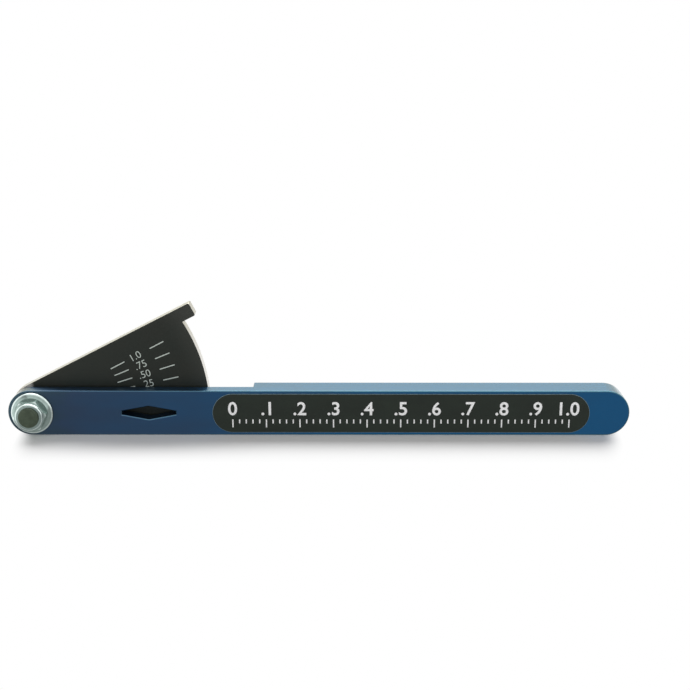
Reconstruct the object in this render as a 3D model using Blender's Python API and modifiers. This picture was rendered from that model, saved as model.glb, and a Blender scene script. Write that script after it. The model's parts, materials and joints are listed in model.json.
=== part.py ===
"""Chain wear gauge: a bar with a half-lap, and an indicator plate that swings behind the lap.

Metres, +Z up. X runs along the bar, the labelled face looks along -Y, and the bar stands on its
long narrow edge at Z = 0. The origin is the middle of that edge, halfway through the bar.
"""

import bmesh
import bpy
from math import atan2, cos, pi, radians, sin, sqrt, tan
from mathutils import Matrix, Vector

MM = 0.001
PART_NAME = "chain_wear_gauge"

# Bar
BAR_HEIGHT = 12.7 * MM
BAR_THICKNESS = 7.94 * MM
BAR_EDGE_BREAK = 0.3 * MM
LAP_LENGTH = 67.1 * MM
CHEEK_THICKNESS = 3.97 * MM
PIVOT_INSET = 6.7 * MM
FIXED_PIN_INSET = 8.35 * MM

# Reading window in the cheek: a stretched hexagon, measured over its chamfered mouth
WINDOW_LENGTH = 15.3 * MM
WINDOW_HEIGHT = 4.3 * MM
WINDOW_END_HEIGHT = 1.4 * MM
WINDOW_CHAMFER = 0.2 * MM

# Label
LABEL_START = 56.2 * MM
LABEL_END_MARGIN = 10.9 * MM
LABEL_SIDE_MARGIN = 0.8 * MM
LABEL_THICKNESS = 0.2 * MM
LABEL_EDGE_BREAK = 0.05 * MM

# Indicator plate: U runs along its upper edge from the pivot, V is square to that edge
PLATE_THICKNESS = 3.18 * MM
PLATE_EDGE_BREAK = 0.15 * MM
PLATE_CORNER_RADIUS = 0.4 * MM
UPPER_EDGE_OFFSET = 6.8 * MM
HUB_RADIUS = 6.5 * MM
SECTOR_RADIUS = 48.1 * MM
TAB_REACH = 52.25 * MM
TAB_DEPTH = 3.8 * MM
UPPER_EDGE_ANGLE = radians(27.15)
LOWER_EDGE_ANGLE = radians(1.5)

# Scale: the marks that pass the window, measured from the plate's rest position
SCALE_RADIUS = 32.0 * MM
FIRST_MARK_ANGLE = radians(12.75)
MARK_STEP = radians(5.05)
MARK_COUNT = 4
WEAR_PER_MARK = 0.0025

# Chain that the gauge measures: 13 half links of 12.7 mm
HALF_LINK = 12.7 * MM
HALF_LINKS_SPANNED = 13
ROLLER_DIAMETER = 7.75 * MM

# Measuring pins on the back
PIN_DIAMETER = 2.2 * MM
PIN_REACH = 5.5 * MM
PIN_TIP_RADIUS = 0.7 * MM
PIN_SEAT_DEPTH = 5.0 * MM

# Pivot stud
STUD_SHOULDER_DIAMETER = 6.0 * MM
STUD_THREAD_DIAMETER = 5.0 * MM
STUD_HEAD_FLARE = 0.3 * MM
STUD_HEAD_DEPTH = 0.6 * MM
STUD_END_PROUD = 0.5 * MM
STUD_END_CHAMFER = 0.15 * MM

# Flange nut
NUT_HEIGHT = 4.1 * MM
NUT_COLLAR_HEIGHT = 0.5 * MM
NUT_ACROSS_FLATS = 8.0 * MM
NUT_TURN = radians(6)
NUT_COLLAR_DIAMETER = 7.6 * MM
NUT_CHAMFER_ANGLE = radians(30)
NUT_COUNTERSINK_DIAMETER = 5.85 * MM
FLANGE_DIAMETER = 11.6 * MM
FLANGE_RIM = 0.7 * MM
FLANGE_RISE = 0.5 * MM
FLANGE_EDGE_RADIUS = 0.3 * MM

# Wave washer between the cheek and the plate
WASHER_OUTER_DIAMETER = 11.0 * MM
WASHER_STOCK = 0.25 * MM
WASHER_WAVE_HEIGHT = 0.15 * MM
WASHER_WAVES = 3

# Clearances
SEAT_GAP = 0.05 * MM
LABEL_GAP = 0.02 * MM
PRESS_GAP = 0.05 * MM
RUNNING_GAP = 0.08 * MM
WASHER_BORE_GAP = 0.3 * MM
CUT_OVERRUN = 1.0 * MM

# Facets
END_STEPS = 40
ARC_STEPS = 36
TURNED_STEPS = 64
PIN_STEPS = 40
FILLET_STEPS = 4
SHARP_ANGLE = radians(35)

# Places worked out from the sizes above
HALF_THICKNESS = BAR_THICKNESS / 2
FRONT_Y = -HALF_THICKNESS
BACK_Y = HALF_THICKNESS
CHEEK_BACK_Y = FRONT_Y + CHEEK_THICKNESS
AXIS_Z = BAR_HEIGHT / 2
CHAIN_SPAN = HALF_LINK * HALF_LINKS_SPANNED
PIN_SPAN = CHAIN_SPAN - ROLLER_DIAMETER - PIN_DIAMETER
BAR_LENGTH = PIVOT_INSET + PIN_SPAN + FIXED_PIN_INSET
LEFT_END_X = -BAR_LENGTH / 2
PIVOT_X = LEFT_END_X + PIVOT_INSET
PLATE_GAP = WASHER_STOCK + WASHER_WAVE_HEIGHT + 2 * SEAT_GAP
PLATE_FRONT_Y = CHEEK_BACK_Y + PLATE_GAP
PLATE_BACK_Y = PLATE_FRONT_Y + PLATE_THICKNESS
NUT_BASE_Y = FRONT_Y - SEAT_GAP
NUT_TOP_Y = NUT_BASE_Y - NUT_HEIGHT
PIN_TIP_Y = BACK_Y + PIN_REACH
ECCENTRICITY = WEAR_PER_MARK * CHAIN_SPAN / MARK_STEP
MID_SCALE_ANGLE = FIRST_MARK_ANGLE + MARK_STEP * (MARK_COUNT - 1) / 2
PIVOT = Vector((PIVOT_X, 0, AXIS_Z))


def clear_scene():
    """Removes the objects of the scene that the file opens with."""
    for old in list(bpy.data.objects):
        bpy.data.objects.remove(old, do_unlink=True)


def new_collection(name):
    collection = bpy.data.collections.new(name)
    bpy.context.scene.collection.children.link(collection)
    return collection


def new_material(name, colour, roughness, metallic):
    """A Principled material with the part's colour (linear), roughness and metallic value."""
    material = bpy.data.materials.new(name)
    material.use_nodes = True
    material.diffuse_color = (*colour, 1)
    shader = material.node_tree.nodes["Principled BSDF"]
    shader.inputs["Base Color"].default_value = (*colour, 1)
    shader.inputs["Roughness"].default_value = roughness
    shader.inputs["Metallic"].default_value = metallic
    return material


def add_object(name, mesh, collection, material=None):
    piece = bpy.data.objects.new(name, mesh)
    collection.objects.link(piece)
    if material:
        mesh.materials.append(material)
    return piece


def hide_cutter(piece):
    piece.hide_render = True
    piece.display_type = 'WIRE'
    return piece


def arc(centre, radius, start, end, steps):
    """Points along an arc in the XZ plane, both ends included."""
    points = []
    for step in range(steps + 1):
        angle = start + (end - start) * step / steps
        points.append((centre[0] + radius * cos(angle), centre[1] + radius * sin(angle)))
    return points


def slot_outline(left, right, height, middle_z):
    """A bar outline with full-round ends, anticlockwise as seen from the front."""
    radius = height / 2
    right_end = arc((right - radius, middle_z), radius, -pi / 2, pi / 2, END_STEPS)
    left_end = arc((left + radius, middle_z), radius, pi / 2, 3 * pi / 2, END_STEPS)
    return right_end + left_end


def flat_piece(name, outline, front_y, thickness, collection, material=None):
    """A flat outline in X and Z, filled and given its thickness backwards from front_y."""
    curve = bpy.data.curves.new(name, 'CURVE')
    curve.dimensions = '2D'
    curve.fill_mode = 'BOTH'
    curve.extrude = thickness / 2
    spline = curve.splines.new('POLY')
    spline.points.add(len(outline) - 1)
    for point, (x, z) in zip(spline.points, outline):
        point.co = (x, z, 0, 1)
    spline.use_cyclic_u = True
    source = bpy.data.objects.new(name + "_outline", curve)
    collection.objects.link(source)
    evaluated = source.evaluated_get(bpy.context.evaluated_depsgraph_get())
    mesh = bpy.data.meshes.new_from_object(evaluated)
    bpy.data.objects.remove(source, do_unlink=True)
    bpy.data.curves.remove(curve)
    shape = bmesh.new()
    shape.from_mesh(mesh)
    bmesh.ops.remove_doubles(shape, verts=shape.verts, dist=1e-7)
    bmesh.ops.dissolve_limit(shape, angle_limit=radians(0.01), verts=shape.verts, edges=shape.edges)
    stand_up = Matrix.Translation((0, front_y + thickness / 2, 0)) @ Matrix.Rotation(pi / 2, 4, 'X')
    bmesh.ops.transform(shape, matrix=stand_up, verts=shape.verts)
    bmesh.ops.recalc_face_normals(shape, faces=shape.faces)
    shape.to_mesh(mesh)
    shape.free()
    mesh.name = name
    return add_object(name, mesh, collection, material)


def turned_piece(name, stations, centre, collection, material=None, steps=TURNED_STEPS, closed=False):
    """A piece turned about an axis along Y through centre.

    stations are (radius, y), from the back along the outside to the front.
    """
    mesh = bpy.data.meshes.new(name)
    shape = bmesh.new()
    points = [shape.verts.new((radius, 0, y)) for radius, y in stations]
    for first, second in zip(points, points[1:]):
        shape.edges.new((first, second))
    if closed:
        shape.edges.new((points[-1], points[0]))
    shape.to_mesh(mesh)
    shape.free()
    piece = add_object(name, mesh, collection, material)
    piece.location = centre
    piece.rotation_euler = (-pi / 2, 0, 0)
    screw = piece.modifiers.new("Turn", 'SCREW')
    screw.steps = steps
    screw.render_steps = steps
    screw.use_merge_vertices = True
    screw.merge_threshold = 1e-7
    screw.use_smooth_shade = True
    return piece


def cut(piece, cutter, operation='DIFFERENCE'):
    boolean = piece.modifiers.new(cutter.name, 'BOOLEAN')
    boolean.operation = operation
    boolean.solver = 'EXACT'
    boolean.object = cutter
    return boolean


def break_edges(piece, width, segments=1):
    """Takes the sharp edges off a piece."""
    bevel = piece.modifiers.new("Edge break", 'BEVEL')
    bevel.width = width
    bevel.segments = segments
    bevel.limit_method = 'ANGLE'
    bevel.angle_limit = SHARP_ANGLE
    bevel.use_clamp_overlap = True
    return bevel


def round_corners(piece, radius, steps):
    """Rounds the corners of a flat outline, which are its sharp edges along Y."""
    shape = bmesh.new()
    shape.from_mesh(piece.data)
    corners = []
    for edge in shape.edges:
        run = edge.verts[1].co - edge.verts[0].co
        along_y = abs(run.y) > 0.9 * run.length
        if along_y and edge.calc_face_angle(0) > SHARP_ANGLE:
            corners.append(edge)
    bmesh.ops.bevel(shape, geom=corners, offset=radius, segments=steps, profile=0.5, affect='EDGES')
    shape.to_mesh(piece.data)
    shape.free()


def shade(piece):
    piece.data.shade_smooth()
    piece.data.set_sharp_from_angle(angle=SHARP_ANGLE)


def box_cutter(name, low, high, collection):
    bpy.ops.mesh.primitive_cube_add(size=1)
    box = bpy.context.object
    box.name = name
    box.data.name = name
    low = Vector(low)
    high = Vector(high)
    size = high - low
    box.data.transform(Matrix.Translation((low + high) / 2) @ Matrix.Diagonal((*size, 1)))
    for owner in list(box.users_collection):
        owner.objects.unlink(box)
    collection.objects.link(box)
    return hide_cutter(box)


def bore_cutter(name, radius, back_y, front_y, centre, collection, steps=TURNED_STEPS):
    stations = [(0, back_y), (radius, back_y), (radius, front_y), (0, front_y)]
    return hide_cutter(turned_piece(name, stations, centre, collection, steps=steps))


def window_outline(inset):
    """The reading window, whose narrow ends point at the marks, with each side moved in by inset."""
    middle_x = PIVOT_X + SCALE_RADIUS
    slope = atan2(WINDOW_HEIGHT - WINDOW_END_HEIGHT, WINDOW_LENGTH)
    half_length = WINDOW_LENGTH / 2 - inset
    peak = WINDOW_HEIGHT / 2 - inset / cos(slope)
    end = peak - half_length * tan(slope)
    right = [(middle_x + half_length, AXIS_Z - end), (middle_x + half_length, AXIS_Z + end)]
    left = [(middle_x - half_length, AXIS_Z + end), (middle_x - half_length, AXIS_Z - end)]
    return right + [(middle_x, AXIS_Z + peak)] + left + [(middle_x, AXIS_Z - peak)]


def flare_cutter(name, sections, collection):
    """A convex solid through outlines that lie at different depths: sections are (outline, y)."""
    shape = bmesh.new()
    points = [shape.verts.new((x, y, z)) for outline, y in sections for x, z in outline]
    bmesh.ops.convex_hull(shape, input=points)
    mesh = bpy.data.meshes.new(name)
    shape.to_mesh(mesh)
    shape.free()
    return hide_cutter(add_object(name, mesh, collection))


def plate_point(u, v):
    """A point of the indicator plate at rest, from its place along and square to the upper edge."""
    x = PIVOT_X + u * cos(UPPER_EDGE_ANGLE) - v * sin(UPPER_EDGE_ANGLE)
    z = AXIS_Z + u * sin(UPPER_EDGE_ANGLE) + v * cos(UPPER_EDGE_ANGLE)
    return (x, z)


def plate_outline():
    """Hub, lower edge, sector, tab and upper edge, anticlockwise as seen from the front."""
    hub_v = UPPER_EDGE_OFFSET - HUB_RADIUS
    tilt = LOWER_EDGE_ANGLE - UPPER_EDGE_ANGLE
    hub = [(u, v + hub_v) for u, v in arc((0, 0), HUB_RADIUS, pi / 2, 3 * pi / 2 + tilt, ARC_STEPS)]
    # The lower edge is tangent to the hub and ends on the sector.
    tangent_u, tangent_v = hub[-1]
    along = Vector((cos(tilt), sin(tilt)))
    start = Vector((tangent_u, tangent_v))
    reach = start.dot(along)
    run = -reach + sqrt(reach ** 2 + SECTOR_RADIUS ** 2 - start.length_squared)
    low_corner = start + along * run
    tab_v = UPPER_EDGE_OFFSET - TAB_DEPTH
    notch_u = sqrt(SECTOR_RADIUS ** 2 - tab_v ** 2)
    low_angle = atan2(low_corner.y, low_corner.x)
    high_angle = atan2(tab_v, notch_u)
    sector = arc((0, 0), SECTOR_RADIUS, low_angle, high_angle, ARC_STEPS)
    tab = [(TAB_REACH, tab_v), (TAB_REACH, UPPER_EDGE_OFFSET)]
    return [plate_point(u, v) for u, v in hub + sector + tab]


def make_bar(parts, cutters, material):
    outline = slot_outline(LEFT_END_X, LEFT_END_X + BAR_LENGTH, BAR_HEIGHT, AXIS_Z)
    bar = flat_piece("body_bar", outline, FRONT_Y, BAR_THICKNESS, parts, material)
    lap_low = (LEFT_END_X - CUT_OVERRUN, CHEEK_BACK_Y, -CUT_OVERRUN)
    lap_high = (LEFT_END_X + LAP_LENGTH, BACK_Y + CUT_OVERRUN, BAR_HEIGHT + CUT_OVERRUN)
    cut(bar, box_cutter("lap_cutter", lap_low, lap_high, cutters))
    break_edges(bar, BAR_EDGE_BREAK, 2)
    window_depth = CHEEK_THICKNESS + 2 * CUT_OVERRUN
    window = flat_piece("window_cutter", window_outline(WINDOW_CHAMFER), FRONT_Y - CUT_OVERRUN,
                        window_depth, cutters)
    cut(bar, hide_cutter(window))
    mouth = [(window_outline(-CUT_OVERRUN), FRONT_Y - CUT_OVERRUN),
             (window_outline(WINDOW_CHAMFER), FRONT_Y + WINDOW_CHAMFER)]
    cut(bar, flare_cutter("window_chamfer_cutter", mouth, cutters))
    bore_radius = STUD_SHOULDER_DIAMETER / 2 + RUNNING_GAP
    bore = bore_cutter("pivot_bore_cutter", bore_radius, CHEEK_BACK_Y + CUT_OVERRUN,
                       FRONT_Y - CUT_OVERRUN, PIVOT, cutters)
    cut(bar, bore)
    seat_radius = PIN_DIAMETER / 2 + PRESS_GAP
    seat_end = BACK_Y - PIN_SEAT_DEPTH - PRESS_GAP
    seat = bore_cutter("fixed_pin_seat_cutter", seat_radius, BACK_Y + CUT_OVERRUN, seat_end,
                       PIVOT + Vector((PIN_SPAN, 0, 0)), cutters, PIN_STEPS)
    cut(bar, seat)
    shade(bar)
    return bar


def make_label(parts, material):
    front = FRONT_Y - LABEL_GAP - LABEL_THICKNESS
    left = LEFT_END_X + LABEL_START
    right = LEFT_END_X + BAR_LENGTH - LABEL_END_MARGIN
    outline = slot_outline(left, right, BAR_HEIGHT - 2 * LABEL_SIDE_MARGIN, AXIS_Z)
    label = flat_piece("front_label", outline, front, LABEL_THICKNESS, parts, material)
    break_edges(label, LABEL_EDGE_BREAK)
    shade(label)
    return label


def make_pin(name, front_y, centre, parts, material):
    """A straight dowel with a rounded tip, from its pressed end to the tip at the back."""
    radius = PIN_DIAMETER / 2
    tip_middle = (radius - PIN_TIP_RADIUS, PIN_TIP_Y - PIN_TIP_RADIUS)
    tip = arc(tip_middle, PIN_TIP_RADIUS, pi / 2, 0, FILLET_STEPS)
    stations = [(0, PIN_TIP_Y)] + tip + [(radius, front_y), (0, front_y)]
    pin = turned_piece(name, stations, centre, parts, material, PIN_STEPS)
    shade(pin)
    return pin


def make_plate(parts, cutters, material, pin_centre):
    plate = flat_piece("indicator_plate", plate_outline(), PLATE_FRONT_Y, PLATE_THICKNESS, parts, material)
    round_corners(plate, PLATE_CORNER_RADIUS, FILLET_STEPS)
    break_edges(plate, PLATE_EDGE_BREAK)
    shoulder = STUD_SHOULDER_DIAMETER / 2 + PRESS_GAP
    head = shoulder + STUD_HEAD_FLARE
    flare_y = PLATE_BACK_Y - STUD_HEAD_DEPTH
    stations = [(0, PLATE_BACK_Y + CUT_OVERRUN), (head, PLATE_BACK_Y + CUT_OVERRUN), (head, PLATE_BACK_Y),
                (shoulder, flare_y), (shoulder, PLATE_FRONT_Y - CUT_OVERRUN / 4),
                (0, PLATE_FRONT_Y - CUT_OVERRUN / 4)]
    stud_seat = hide_cutter(turned_piece("stud_seat_cutter", stations, PIVOT, cutters))
    cut(plate, stud_seat)
    pin_seat = bore_cutter("measuring_pin_seat_cutter", PIN_DIAMETER / 2 + PRESS_GAP,
                           PLATE_BACK_Y + CUT_OVERRUN, PLATE_FRONT_Y - CUT_OVERRUN / 4,
                           pin_centre, cutters, PIN_STEPS)
    cut(plate, pin_seat)
    shade(plate)
    return plate


def make_stud(parts, material):
    """Riveted flush into the plate's back, running in the cheek, and staked in the nut's mouth."""
    shoulder = STUD_SHOULDER_DIAMETER / 2
    head = shoulder + STUD_HEAD_FLARE
    thread = STUD_THREAD_DIAMETER / 2
    staked = NUT_COUNTERSINK_DIAMETER / 2 - PRESS_GAP
    end_y = NUT_TOP_Y - STUD_END_PROUD
    stations = [(0, PLATE_BACK_Y), (head, PLATE_BACK_Y), (shoulder, PLATE_BACK_Y - STUD_HEAD_DEPTH),
                (shoulder, FRONT_Y), (thread, FRONT_Y), (thread, NUT_TOP_Y + staked - thread),
                (staked, NUT_TOP_Y), (staked, end_y + STUD_END_CHAMFER),
                (staked - STUD_END_CHAMFER, end_y), (0, end_y)]
    stud = turned_piece("pivot_stud", stations, PIVOT, parts, material)
    shade(stud)
    return stud


def make_washer(parts, material):
    """A wave spring washer: a flat ring whose stock rises and falls around the pivot."""
    inner = STUD_SHOULDER_DIAMETER / 2 + WASHER_BORE_GAP
    outer = WASHER_OUTER_DIAMETER / 2
    middle_y = CHEEK_BACK_Y + PLATE_GAP / 2
    half = WASHER_STOCK / 2
    stations = [(inner, middle_y + half), (outer, middle_y + half),
                (outer, middle_y - half), (inner, middle_y - half)]
    ring = turned_piece("wave_washer", stations, PIVOT, parts, material, closed=True)
    evaluated = ring.evaluated_get(bpy.context.evaluated_depsgraph_get())
    mesh = bpy.data.meshes.new_from_object(evaluated)
    mesh.name = "wave_washer"
    flat_mesh = ring.data
    ring.modifiers.clear()
    ring.data = mesh
    bpy.data.meshes.remove(flat_mesh)
    for vertex in mesh.vertices:
        around = atan2(vertex.co.y, vertex.co.x)
        vertex.co.z += WASHER_WAVE_HEIGHT / 2 * cos(WASHER_WAVES * around)
    shade(ring)
    return ring


def make_nut(parts, cutters, material):
    """Hexagon under a round collar, a flange with a rounded rim, and a countersunk thread."""
    corner_radius = NUT_ACROSS_FLATS / 2 / cos(pi / 6)
    flange_radius = FLANGE_DIAMETER / 2
    rim_front = NUT_BASE_Y - FLANGE_RIM
    rise_front = rim_front - FLANGE_RISE
    edge = FLANGE_EDGE_RADIUS
    back_round = arc((flange_radius - edge, NUT_BASE_Y - edge), edge, pi / 2, 0, FILLET_STEPS)
    front_round = arc((flange_radius - edge, rim_front + edge), edge, 0, -pi / 2, FILLET_STEPS)
    stations = ([(0, NUT_BASE_Y)] + back_round + front_round
                + [(corner_radius, rise_front), (0, rise_front)])
    nut = turned_piece("flange_nut", stations, PIVOT, parts, material)

    hexagon = [(PIVOT_X + corner_radius * cos(NUT_TURN + side * pi / 3),
                AXIS_Z + corner_radius * sin(NUT_TURN + side * pi / 3)) for side in range(6)]
    hex_back = NUT_BASE_Y - FLANGE_RIM / 2
    prism = flat_piece("nut_hexagon", hexagon, NUT_TOP_Y, hex_back - NUT_TOP_Y, cutters)
    collar_radius = NUT_COLLAR_DIAMETER / 2
    collar_foot_y = NUT_TOP_Y + NUT_COLLAR_HEIGHT
    wide = corner_radius + CUT_OVERRUN
    chamfer_drop = (wide - collar_radius) * tan(NUT_CHAMFER_ANGLE)
    envelope = [(0, NUT_BASE_Y + CUT_OVERRUN), (wide, NUT_BASE_Y + CUT_OVERRUN),
                (wide, collar_foot_y + chamfer_drop), (collar_radius, collar_foot_y),
                (collar_radius, NUT_TOP_Y), (0, NUT_TOP_Y)]
    chamfer = hide_cutter(turned_piece("nut_chamfer_cutter", envelope, PIVOT, cutters))
    cut(prism, chamfer, 'INTERSECT')
    cut(nut, hide_cutter(prism), 'UNION')

    thread = STUD_THREAD_DIAMETER / 2 + PRESS_GAP
    mouth = NUT_COUNTERSINK_DIAMETER / 2
    sink = mouth - thread
    bore = [(0, NUT_BASE_Y + CUT_OVERRUN), (mouth, NUT_BASE_Y + CUT_OVERRUN), (mouth, NUT_BASE_Y),
            (thread, NUT_BASE_Y - sink), (thread, NUT_TOP_Y + sink), (mouth, NUT_TOP_Y),
            (mouth, NUT_TOP_Y - CUT_OVERRUN), (0, NUT_TOP_Y - CUT_OVERRUN)]
    cut(nut, hide_cutter(turned_piece("nut_bore_cutter", bore, PIVOT, cutters)))
    shade(nut)
    return nut


def main():
    clear_scene()
    parts = new_collection(PART_NAME)
    cutters = new_collection("cutters")
    anodised = new_material("blue_anodised_aluminium", (0.02, 0.062, 0.15), 0.38, 0.9)
    print_black = new_material("black_label_film", (0.02, 0.024, 0.02), 0.45, 0.0)
    plate_black = new_material("black_finished_steel", (0.024, 0.03, 0.026), 0.5, 0.3)
    zinc = new_material("zinc_plated_steel", (0.32, 0.38, 0.36), 0.25, 1.0)
    oxide = new_material("black_oxide_steel", (0.05, 0.06, 0.045), 0.45, 0.6)
    ground = new_material("ground_steel", (0.55, 0.55, 0.54), 0.22, 1.0)
    spring = new_material("spring_steel", (0.35, 0.35, 0.34), 0.35, 1.0)

    make_bar(parts, cutters, anodised)
    make_label(parts, print_black)
    fixed_front = BACK_Y - PIN_SEAT_DEPTH
    make_pin("fixed_pin", fixed_front, PIVOT + Vector((PIN_SPAN, 0, 0)), parts, ground)

    axis = bpy.data.objects.new("indicator_axis", None)
    axis.location = PIVOT
    parts.objects.link(axis)
    pin_angle = MID_SCALE_ANGLE - pi / 2
    pin_centre = PIVOT + ECCENTRICITY * Vector((cos(pin_angle), 0, sin(pin_angle)))
    moving = [make_plate(parts, cutters, plate_black, pin_centre),
              make_pin("measuring_pin", PLATE_FRONT_Y + SEAT_GAP, pin_centre, parts, ground),
              make_stud(parts, oxide),
              make_washer(parts, spring),
              make_nut(parts, cutters, zinc)]
    bpy.context.view_layer.update()
    for piece in moving:
        piece.parent = axis
        piece.matrix_parent_inverse = axis.matrix_world.inverted()


main()
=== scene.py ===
"""Looks of a chain wear gauge: fine forms, finishes and print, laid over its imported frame.

Metres, +Z up, in the frame of the solids: X runs along the bar, the label looks along -Y, and the
bar stands on its long narrow edge at Z = 0.
"""

import json
from math import atan2, cos, pi, radians, sin, tan

import bmesh
import bpy
from bpy.props import FloatProperty, FloatVectorProperty, PointerProperty, StringProperty
from mathutils import Matrix, Vector


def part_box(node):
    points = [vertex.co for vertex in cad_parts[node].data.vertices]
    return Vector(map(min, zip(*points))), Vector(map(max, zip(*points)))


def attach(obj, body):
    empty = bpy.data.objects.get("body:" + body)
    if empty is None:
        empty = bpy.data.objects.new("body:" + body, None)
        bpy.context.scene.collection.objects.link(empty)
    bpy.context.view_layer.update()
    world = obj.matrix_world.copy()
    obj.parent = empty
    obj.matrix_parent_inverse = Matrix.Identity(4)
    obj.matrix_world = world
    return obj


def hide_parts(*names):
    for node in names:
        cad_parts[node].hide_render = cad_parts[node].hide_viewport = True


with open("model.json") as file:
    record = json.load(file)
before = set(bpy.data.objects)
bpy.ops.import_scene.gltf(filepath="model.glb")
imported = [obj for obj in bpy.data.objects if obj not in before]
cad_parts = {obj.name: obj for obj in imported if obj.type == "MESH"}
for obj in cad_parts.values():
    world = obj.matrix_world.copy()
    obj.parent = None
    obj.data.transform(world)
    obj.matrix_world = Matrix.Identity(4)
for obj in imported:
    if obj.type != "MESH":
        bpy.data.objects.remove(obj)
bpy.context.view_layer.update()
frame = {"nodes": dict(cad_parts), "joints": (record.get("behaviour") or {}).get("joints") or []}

bl_info = {
    "name": "Chain Wear Gauge",
    "version": (1, 0, 0),
    "blender": (4, 5, 0),
    "location": "View3D > Sidebar > Gauge",
    "description": "Builds the bar, indicator, pivot parts, print and studio of a chain wear gauge",
    "category": "Object",
}

MM = 0.001

# Places read from the frame
BAR_LOW, BAR_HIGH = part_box("body_bar")
LABEL_LOW, LABEL_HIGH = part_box("front_label")
PLATE_LOW, PLATE_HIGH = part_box("indicator_plate")
NUT_LOW, NUT_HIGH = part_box("flange_nut")
STUD_LOW, STUD_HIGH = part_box("pivot_stud")
PIVOT = Vector(frame["joints"][0]["pos_m"])
BAR_LENGTH = BAR_HIGH.x - BAR_LOW.x
AXIS_Z = (BAR_HIGH.z + BAR_LOW.z) / 2
PLATE_THICKNESS = PLATE_HIGH.y - PLATE_LOW.y
NUT_HEIGHT = NUT_HIGH.y - NUT_LOW.y
FLANGE_RADIUS = (NUT_HIGH.x - NUT_LOW.x) / 2

FACE_TO_FRONT = (pi / 2, 0, 0)   # turns a piece made along +Z to look along -Y
SHARP = radians(30)              # an edge that turns by more is sharp
FLAT = 0.97                      # Y of a normal, past which a face looks straight front or back
SQUARE = 0.1                     # Y of a normal, under which a face stands square to the front
ALONG = 0.99                     # share of an edge's length that an axis has if it runs along it
MERGE = 1e-6                     # points nearer than this are one
OVERRUN = 1 * MM                 # how far a cutter reaches past what it cuts
SEAT_GAP = 0.02 * MM             # gap round a pressed or threaded part
BORE_GAP = 0.05 * MM             # gap round the stud in the bar, where it turns
STAKE_GAP = 0.03 * MM            # gap round the stud's staked end
CORNER_EASE = 0.15 * MM          # rounding of the hexagon's corners
CORNER_RUB_AND_HIGHLIGHT = 0.35 * MM          # how far in from its corners the hexagon is lighter: partly rubbed, partly a painted highlight
NUT_CHAMFER = radians(30)        # slope of the hexagon's chamfer
FLOOR_GAP = 0.02 * MM            # keeps the paper clear of the bar's underside
PRINT = 0.02 * MM                # thickness of the printed ink
BOLD = 0.02                      # share of the type size added round the label's numbers
FINE = -0.006                    # and taken off round the indicator's numbers
NOISE_LOW, NOISE_HIGH = 0.3, 0.7   # what a noise rarely leaves


def linear(hex_colour):
    """The linear red, green and blue of an sRGB hex colour."""
    channels = [int(hex_colour[i:i + 2], 16) / 255 for i in (1, 3, 5)]
    return tuple(c / 12.92 if c <= 0.04045 else ((c + 0.055) / 1.055) ** 2.4 for c in channels)


def length(name, description, millimetres):
    return FloatProperty(name=name, description=description, default=millimetres * MM,
                         unit='LENGTH', precision=5)


def angle(name, description, degrees):
    return FloatProperty(name=name, description=description, default=radians(degrees),
                         subtype='ANGLE', unit='ROTATION')


def amount(name, description, value, unit='NONE'):
    return FloatProperty(name=name, description=description, default=value, unit=unit)


def colour(name, description, hex_colour):
    return FloatVectorProperty(name=name, description=description, default=linear(hex_colour),
                               subtype='COLOR', size=3, min=0, max=1)


class GaugeBar(bpy.types.PropertyGroup):
    """Sizes and colours of the bar and its label."""

    edge_break: length("Edge break", "Width of the rounding on the bar's edges", 0.3)
    lap_length: length("Lap length", "Length of the thin cheek, from the pivot end", 67.1)
    cheek: length("Cheek thickness", "Thickness of the bar in front of the indicator", 3.97)
    window_radius: length("Window place", "Distance of the window's middle from the pivot", 32.0)
    window_length: length("Window length", "Length of the window over its chamfer", 15.3)
    window_height: length("Window height", "Height of the window over its chamfer", 4.3)
    window_end: length("Window end", "Height of the window's narrow ends over the chamfer", 1.4)
    window_chamfer: length("Window chamfer", "Width of the chamfer round the window", 0.2)
    label_edge: length("Label edge", "Width of the label film's clear edge", 0.1)
    numeral_height: length("Numeral height", "Height of the numbers on the label", 3.9)
    tick_height: length("Tick height", "Height of the label's long ticks", 2.3)
    tick_width: length("Tick width", "Width of the label's ticks", 0.35)
    numeral_rise: length("Numeral place", "Height of the numbers' middle above the bar's axis", 1.35)
    tick_drop: length("Tick place", "Depth of the ticks' tops below the bar's axis", 1.75)
    anodised: colour("Anodised blue", "Dye in the anodic layer, at the plain end", "#045787")
    # Painted reflection: the greyer blue that the front is painted with at the pivot end.
    painted_reflection_and_paper_fade: colour("Faded blue", "Dye in the anodic layer, at the pivot end", "#28415e")
    # Painted highlight, partly rubbed: the lighter blue of the edge breaks and chamfers, at the plain
    # end and at the pivot end.
    rubbed_and_painted_highlight: colour("Rubbed blue", "Edges rubbed lighter, at the plain end", "#3b687a")
    rubbed_edge_painted_highlight_and_reflection: colour("Rubbed faded blue", "Edges rubbed lighter, at the pivot end", "#2a4660")
    film: colour("Label black", "Black film of the label", "#1a241b")
    ink: colour("Label ink", "White print on the label", "#ffffff")


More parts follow.
